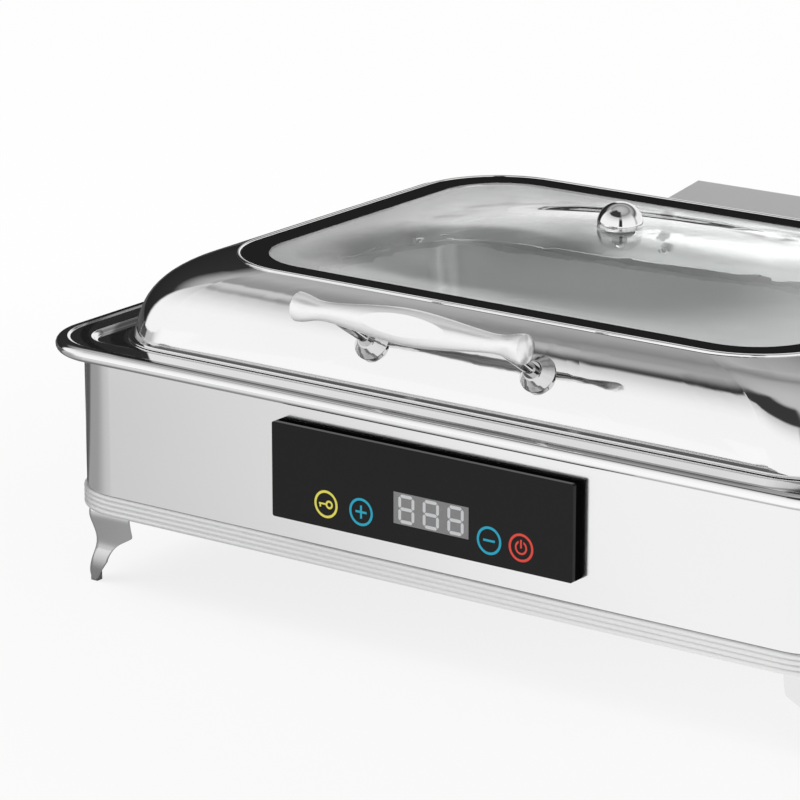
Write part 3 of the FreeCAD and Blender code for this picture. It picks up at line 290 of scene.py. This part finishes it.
def off_outline(made, box, inset, radius):
    """Distance outward, in metres, from a rounded rectangle drawn inset from a box."""
    lowest, highest = box
    middle_y, half_x = (lowest[1] + highest[1]) / 2, highest[0] - inset
    half_y = (highest[1] - lowest[1]) / 2 - inset
    x, y, _ = made.axes(made.place())
    over_x = abs(x) - (half_x - radius)
    over_y = abs(y - middle_y) - (half_y - radius)
    rounded = (over_x.most(0.0) ** 2 + over_y.most(0.0) ** 2) ** 0.5
    straight = over_x.math("MINIMUM", over_x.most(over_y), 0.0)
    return rounded + straight - radius


print("floor tones", CLOSE_SHADE, "beside the wall,", NEAR_GREY, "to", NEAR_WHITE, "round the dish")


# %% [markdown]
# The sheet's own colour is a light grey that catches the soft shadow. Reflections see mostly its
# tones, as plain emission, and the camera sees it mixed with white, the way a lit sheet burns out
# on a photograph. More light would do that too, but it would also fall on the dish.

# %% Floor
floor_mesh = bpy.data.meshes.new("floor")
corners = [(x * FLOOR_HALF, y * FLOOR_HALF, 0) for x, y in ((-1, -1), (1, -1), (1, 1), (-1, 1))]
floor_mesh.from_pydata(corners, [], [(0, 1, 2, 3)])
floor = bpy.data.objects.new("floor", floor_mesh)
bpy.context.scene.collection.objects.link(floor)

pale = new_finish("pale_floor")
floor_x, floor_y, _ = pale.axes(pale.place())
away = (floor_x * floor_x + floor_y * floor_y) ** 0.5
turn = turned(floor_x, floor_y)
# Painted shade in the glow that reflections see: darker beside the wall, on the left, and behind on
# the left.
to_right = (floor_x * ACROSS[0] + floor_y * ACROSS[1]).rise(*GREY_TO_WHITE)
off_wall = off_outline(pale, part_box("body_shell"), 0.0, WALL_CORNER).rise(*CLOSE_BAND)
left_side = pale.blend(off_wall, grey(CLOSE_SHADE), grey(NEAR_GREY))
near = pale.blend(to_right, left_side, grey(NEAR_WHITE))
sheet = pale.blend(away.rise(*NEAR_TO_FAR), near, grey(FAR_WHITE))
back_left_shade = between(turn, *FLAG_TURN) * away.rise(*FLAG_FROM)
edge = between(turn, *CORNER_DARK).most(between(turn, *CORNER_HALF) * HALF_SHADE)
dark = back_left_shade.most(edge * away.rise(*CORNER_FROM))

matt = pale.node("BsdfDiffuse", {"Color": grey(FLOOR_MATT)})
sheen = pale.glow(pale.blend(dark, sheet, grey(SHADOWED)))
to_mirror = pale.ray("Is Glossy Ray").most(pale.ray("Is Transmission Ray")) * MIRROR_SHARE
mirrored = pale.node("MixShader", {0: to_mirror, 1: matt, 2: sheen})
share = SHADE_SHARE + (FAR_SHARE - SHADE_SHARE) * away.rise(*SHARE_BAND)
burnt_out = pale.ray("Is Camera Ray") * share
floor_mesh.materials.append(pale.surface(
    pale.node("MixShader", {0: burnt_out, 1: mirrored, 2: pale.glow(grey(1.0))})))
print("floor", 2 * FLOOR_HALF, "m square")


# %% [markdown]
# One large soft box hangs in front on the left and gives the shadow its direction. The screens
# above are what the steel shows, so the lamp itself is hidden from reflections. Its power is
# worked out from its size and the brightness that its face should have.

# %% Lamp
def soft_box(name, place, aim, size, radiance):
    """Area lamp of a given brightness per area: watts are pi times area times radiance."""
    lamp = bpy.data.lights.new(name, "AREA")
    lamp.shape, lamp.size, lamp.size_y = "RECTANGLE", size[0], size[1]
    lamp.energy = math.pi * size[0] * size[1] * radiance
    stand = bpy.data.objects.new(name, lamp)
    bpy.context.scene.collection.objects.link(stand)
    stand.location = place
    stand.rotation_euler = (Vector(aim) - Vector(place)).to_track_quat("-Z", "Y").to_euler()
    stand.visible_glossy = False
    print(name, round(lamp.energy, 1), "W")


soft_box("key_box", place=(-1.2, -1.0, 2.6), aim=(0, 0, 0.1), size=(2.4, 2.0), radiance=3.0)


# %% [markdown]
# All the steel is one recipe with different numbers. Rolled sheet has fine marks along one
# direction, a slight unevenness that bends reflections, and patches where it was wiped. Bump nodes
# make the first two and a cloud of noise varies tone and roughness, because real geometry for
# marks a hundredth of a millimetre deep would cost millions of faces.

# %% Steel
CLOUDS, WIPES, WAVES = 7.0, 60.0, 5.0
CLOUD_TONE, CLOUD_ROUGH, WIPE_ROUGH = 0.02, 0.04, 0.03
WAVE_HEIGHT, MARK_HEIGHT = 0.002, 0.0001


def steel(name, tone, rough, grain=0.05, waves=0.06, tint=(1.0, 1.0, 1.0), metal=1.0,
          marks=(14.0, 14.0, 1200.0), dulled_or_shaded=None, dull_or_shade=(0.32, 0.04)):
    """Rolled steel. An optional mask marks where the steel is duller, or darker as painted shade,
    and the pair after it is the tone there and the roughness that it adds."""
    made = new_finish(name)
    cloud, wiped = made.noise(CLOUDS, detail=2.0), made.noise(WIPES, detail=4.0, rough=0.6)
    uneven = made.bump(made.noise(WAVES, detail=1.0), waves, WAVE_HEIGHT)
    skin = made.bump(made.streaks(marks), grain, MARK_HEIGHT, uneven)
    low, high = [tuple((tone + step) * part for part in tint) + (1.0,)
                 for step in (-CLOUD_TONE, CLOUD_TONE)]
    colour = made.blend(cloud, low, high)
    # Under the mask the tone is replaced: painted shade, or the tone of a duller finish.
    if dulled_or_shaded:
        mask = dulled_or_shaded(made)
        colour, rough = made.blend(mask, colour, grey(dull_or_shade[0])), rough + mask * dull_or_shade[1]
    return made.principled(colour, rough + cloud * CLOUD_ROUGH + wiped * WIPE_ROUGH,
                           metallic=metal, normal=skin)


# %% [markdown]
# Some places of the steel are painted darker and made a little rougher, and the dark is painted
# shade: two bands in the rim's gutter and its bend, the rim's underside, the hairline of wall over
# the ribbed band, and the legs' toes. The inside of the lid is satin and gets no mirror at all.
# Such places could be separate materials on chosen faces, but a mask needs no change to the mesh.
# Each mask is measured from the boxes of the nodes or from the way the surface faces, so it stays
# on its piece.

# %% Where the steel is dull or painted darker
RIM_TO_LID, LID_CORNER = 0.038, 0.046
GUTTER_BAND = (0.005, 0.007, 0.014, 0.017)
BEND_BAND = (0.028, 0.031, 0.034, 0.036)
DOWNWARD, UNDER_SHARE = (0.35, 0.60), 0.65
HAIRLINE = (-0.0002, 0.0, 0.0002, 0.0005)
TOE_FADE = (0.012, 0.026)


# Painted shade: two bands in the gutter and the rim's underside are darker in the rim's colour.
def gutter_shade(made):
    out = off_outline(made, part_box("water_pan"), RIM_TO_LID, LID_CORNER)
    below = (0.0 - made.axes(made.facing())[2]).rise(*DOWNWARD) * UNDER_SHARE
    return between(out, *GUTTER_BAND).most(between(out, *BEND_BAND)).most(below)


# Painted shade: a hairline of wall just over the ribbed band is darker, where the two parts meet.
def shade_over_band(made):
    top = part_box("base_band")[1][2]
    return between(made.axes(made.place())[2], *(top + step for step in HAIRLINE))


# Painted shade: the legs are darker, and rougher, toward the floor at their toes.
def toe_shade(made):
    return 1 - made.axes(made.place())[2].rise(*TOE_FADE)


def lining(made):
    """1 on faces that look toward the middle of the closed lid."""
    lowest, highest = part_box("lid_shell")
    middle = [(low + high) / 2 for low, high in zip(lowest, highest)][:2] + [lowest[2]]
    from_middle = made.node("VectorMath", {0: made.place(), 1: middle}, operation="SUBTRACT")
    outward = made.node("VectorMath", {0: made.facing(), 1: from_middle}, out="Value",
                        operation="DOT_PRODUCT")
    return outward.under(0.0)


# %% [markdown]
# The rim, the lid and the window frame are the mirror of the dish. The wall is less sharp, because
# its sheet keeps fine marks along its length. The legs are thick plate, pressed, so they have the
# deepest waves.

# %% Polished steel
# Painted shade on the wall over the band, on the rim's gutter and underside, and on the legs' toes.
wall_steel = steel("wall_steel", 0.84, 0.12, grain=0.10, waves=0.02, dulled_or_shaded=shade_over_band)
rim_steel = steel("rim_steel", 0.90, 0.02, grain=0.02, waves=0.02, dulled_or_shaded=gutter_shade)
mirror_steel = steel("mirror_steel", 0.90, 0.02, grain=0.02, waves=0.015)
lid_steel = steel("lid_steel", 0.90, 0.02, grain=0.02, waves=0.015, dulled_or_shaded=lining,
                  dull_or_shade=(0.86, 0.24))
leg_steel = steel("leg_steel", 0.77, 0.10, grain=0.08, waves=0.12, dulled_or_shaded=toe_shade, dull_or_shade=(0.50, 0.12))
dress(wall_steel, "body_shell")
dress(rim_steel, "water_pan")
dress(mirror_steel, "window_frame", "plunger_left", "plunger_right")
dress(lid_steel, "lid_shell")
dress(leg_steel, "leg_front_left", "leg_front_right", "leg_rear_left", "leg_rear_right")

# %% [markdown]
# The ribbed band is satin and hardly mirrors. It is a little less than wholly metallic, which
# keeps it pale where a true metal would show only the floor close by. Pan, floor plate and hinge
# are brushed sheet. The fixings inside are zinc-plated, a little blue, with marks in no one
# direction.

# %% Satin steel and zinc
band_steel = steel("band_steel", 0.84, 0.46, waves=0.02, metal=0.7)
pan_steel = steel("pan_steel", 0.86, 0.28, grain=0.12)
hinge_steel = steel("hinge_steel", 0.92, 0.30, grain=0.14, marks=(900.0, 14.0, 14.0))
screw_steel = steel("screw_steel", 0.72, 0.14)
zinc = steel("zinc_plate", 0.60, 0.30, tint=(0.96, 0.98, 1.02), marks=(60.0, 60.0, 60.0))
dress(band_steel, "base_band")
dress(pan_steel, "food_pan", "bottom_cover")
dress(hinge_steel, "hinge_lid_leaf", "hinge_cover", "hinge_frame")
dress(screw_steel, "leaf_screws", "leaf_cap_nuts", "lid_cap_nuts", "knob_washer", "hinge_shaft")
dress(zinc, "m3_screws", "m5_screws", "m5_nuts", "clamp_screws", "cam_pins", "knob_stud",
      "rear_stiffener", "heater_bars", "heater_nuts")

# %% [markdown]
# The handle and the knob are castings. The bar is tumbled and plated, so it is bright but soft,
# with a faint orange-peel skin, and its back, the side turned toward the lid, is painted darker as
# shade. The lid mirrors that back under the bar. The knob is buffed to a mirror, and the rosettes
# and posts nearly.

# %% Castings
PEEL, PEEL_HEIGHT = 420.0, 0.0003
SPOTS, SPOT_DARK, SPOT_LIGHT, SPOT_ROUGH = 30.0, 0.03, 0.01, 0.05
BACK_FACING, BACK_SHADE = (0.0, 0.35), 0.34


def casting(name, tone, rough, peel, metal=1.0, shaded_back=False):
    made = new_finish(name)
    skin = made.bump(made.noise(PEEL, rough=0.6), peel, PEEL_HEIGHT)
    cloud = made.noise(SPOTS)
    colour = made.blend(cloud, grey(tone - SPOT_DARK), grey(tone + SPOT_LIGHT))
    # Painted shade: the faces turned toward the lid are darker.
    if shaded_back:
        backward = made.axes(made.facing())[1].rise(*BACK_FACING)
        colour = made.blend(backward, colour, grey(BACK_SHADE))
    return made.principled(colour, rough + cloud * SPOT_ROUGH, metallic=metal, normal=skin)


dress(casting("tumbled_chrome", 0.96, 0.26, 0.10, metal=0.62, shaded_back=True), "handle_bar")
dress(casting("buffed_chrome", 0.90, 0.015, 0.008), "knob_cap")
dress(casting("buffed_fittings", 0.68, 0.03, 0.012), "handle_posts", "handle_rosettes")
dress(casting("cam_steel", 0.55, 0.22, 0.05), "hinge_cams", "damper_cylinder_left",
      "damper_cylinder_right")

# %% [markdown]
# The window is a clear pane with a trace of green. A pane can be a mix of a clear and a glossy
# shader, but a Principled shader that transmits gives both, and bends the light as real glass does.
# The border is a black enamel fired on, matt so that it stays dark at a low angle of view.

# %% Window
PANE_TINT, ENAMEL_BLACK = (0.97, 0.99, 0.985, 1.0), 0.016
ENAMEL_ROUGH, ENAMEL_SPECKS, SPECK_ROUGH = 0.45, 300.0, 0.1

pane = new_finish("window_pane")
dress(pane.principled(PANE_TINT, 0.0, ior=1.5, transmission_weight=1.0), "window_glass")
enamel = new_finish("fired_enamel")
fired = ENAMEL_ROUGH + enamel.noise(ENAMEL_SPECKS) * SPECK_ROUGH
dress(enamel.principled(grey(ENAMEL_BLACK), fired, specular_ior_level=0.0), "window_black_border")

# %% [markdown]
# The touch panel is glass with black paint behind it, and the display's window is a greyer patch
# in that paint. The patch is placed by comparing X and Z with the box of the digits, so it can't
# drift from them.

# %% Touch panel
PATCH_SIDE, PATCH_RISE = 0.0037, 0.0010
MOTTLE, PAINT_TONES, PATCH_TONES = 900.0, (0.010, 0.014), (0.21, 0.28)
PANEL_ROUGH, SMEARS, SMEAR_ROUGH = 0.08, 40.0, 0.05

lowest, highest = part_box("display_digits")
panel = new_finish("touch_panel")
across, _, upward = panel.axes(panel.place())
beside = across.over(lowest[0] - PATCH_SIDE) * across.under(highest[0] + PATCH_SIDE)
level = upward.over(lowest[2] - PATCH_RISE) * upward.under(highest[2] + PATCH_RISE)
mottle = panel.noise(MOTTLE, detail=2.0)
paint, patch = [panel.blend(mottle, grey(dark_spot), grey(light_spot))
                for dark_spot, light_spot in (PAINT_TONES, PATCH_TONES)]
smeared = PANEL_ROUGH + panel.noise(SMEARS) * SMEAR_ROUGH
dress(panel.principled(panel.blend(beside * level, paint, patch), smeared,
                       specular_ior_level=0.12), "touch_glass")


# %% [markdown]
# The marks on the panel are printed on the back of the glass. They are solids in the frame, so
# each only needs its ink, slightly uneven as a screen print is.

# %% Panel marks
INK_SPECKS, INK_LIGHT = 1500.0, 1.15


def paler(colour, share, lift=0.0):
    """A colour with its parts raised, for the light spots of a mottled finish."""
    return tuple(min(1.0, part * share + lift) for part in colour[:3]) + (1.0,)


def ink(name, colour):
    made = new_finish(name)
    speck = made.noise(INK_SPECKS, detail=2.0)
    return made.principled(made.blend(speck, colour, paler(colour, INK_LIGHT)), 0.35,
                           specular_ior_level=0.3)


dress(ink("yellow_ink", (0.72, 0.66, 0.10, 1.0)), "lock_mark")
dress(ink("cyan_ink", (0.012, 0.36, 0.52, 1.0)), "plus_mark", "minus_mark")
dress(ink("red_ink", (0.72, 0.06, 0.04, 1.0)), "power_mark")
dress(ink("segment_grey", (0.58, 0.59, 0.60, 1.0)), "display_digits")


# %% [markdown]
# Plastics and rubbers differ in how their skin scatters light. Moulded black plastic has a fine
# spark-eroded grain, silicone is matt and slightly cloudy, and both get theirs from noise bump at
# the size of the real grain. The cast plate of the heater has the coarsest grain, that of its
# sand.

# %% Plastic and rubber
GRAIN_LIGHT, GRAIN_LIFT, GRAIN_ROUGH, GRAIN_HEIGHT = 1.3, 0.004, 0.1, 0.0002


def moulded(name, colour, rough, grain_size, grain, gloss=0.5):
    made = new_finish(name)
    speck = made.noise(grain_size, detail=4.0, rough=0.65)
    mottled = made.blend(speck, colour, paler(colour, GRAIN_LIGHT, GRAIN_LIFT))
    return made.principled(mottled, rough + speck * GRAIN_ROUGH, specular_ior_level=gloss,
                           normal=made.bump(speck, grain, GRAIN_HEIGHT))


dress(moulded("case_plastic", grey(0.002), 0.55, 1800.0, 0.15, gloss=0.0), "control_case")
dress(moulded("black_plastic", grey(0.006), 0.45, 1800.0, 0.15), "inlet_body", "damper_clamps",
      "thermal_cutout")
dress(moulded("black_silicone", grey(0.010), 0.70, 900.0, 0.10), "window_gasket", "open_stops",
      "handle_backing_washers")
dress(moulded("grey_rubber", grey(0.16), 0.65, 700.0, 0.12, gloss=0.3), "leg_pads")
dress(moulded("clear_silicone", grey(0.60), 0.50, 700.0, 0.05), "knob_seals")
dress(moulded("sand_cast_alloy", grey(0.46), 0.50, 500.0, 0.35), "heater_plate")

# %% [markdown]
# Inside the dish there are a few other metals. The heating tube's sheath has the straw and brown
# colours that heat leaves. The bushes are bronze and the inlet's blades are nickelled brass. Both
# take the recipe for steel with a warmer tint, because their skin is the same rolled or turned
# one.

# %% Sheath, bushes and blades
STRAW, BROWN, HEAT_CLOUDS = (0.36, 0.31, 0.27, 1.0), (0.20, 0.17, 0.14, 1.0), 25.0

sheath = new_finish("heat_dark_sheath")
heat_tones = sheath.blend(sheath.noise(HEAT_CLOUDS), BROWN, STRAW)
dress(sheath.principled(heat_tones, 0.35, metallic=1.0), "heating_tube")
dress(steel("bearing_bronze", 0.60, 0.28, tint=(1.0, 0.76, 0.42)), "shaft_bushes")
dress(steel("nickelled_brass", 0.70, 0.20, tint=(1.0, 0.94, 0.78)), "inlet_blades")

# %% [markdown]
# A circuit board is copper tracks under green lacquer, with tinned pads left open. Real tracks
# would be hundreds of thin solids, so cells of noise stand for them: the borders between the cells
# are the tracks, paler and a hair higher, and the middles of smaller cells are the pads.

# %% Boards
LACQUER, TRACK, TIN = (0.012, 0.10, 0.035, 1.0), (0.03, 0.20, 0.07, 1.0), 0.55
TRACK_CELLS, TRACK_WIDTH, PAD_CELLS, PAD_SIZE = 160.0, 0.05, 240.0, 0.16
TRACK_STEP, TRACK_HEIGHT = 0.3, 0.0001

board = new_finish("board_lacquer")
tracks = board.cells(TRACK_CELLS, feature="DISTANCE_TO_EDGE").under(TRACK_WIDTH)
pads = board.cells(PAD_CELLS).under(PAD_SIZE)
lacquered = board.blend(pads, board.blend(tracks, LACQUER, TRACK), grey(TIN))
dress(board.principled(lacquered, 0.30, normal=board.bump(tracks, TRACK_STEP, TRACK_HEIGHT)),
      "control_board", "power_board")

# %% [markdown]
# Every node of the frame must have a finish by now.

# %% Finish
bare = [name for name, node in nodes.items() if not node.data.materials]
assert not bare, bare
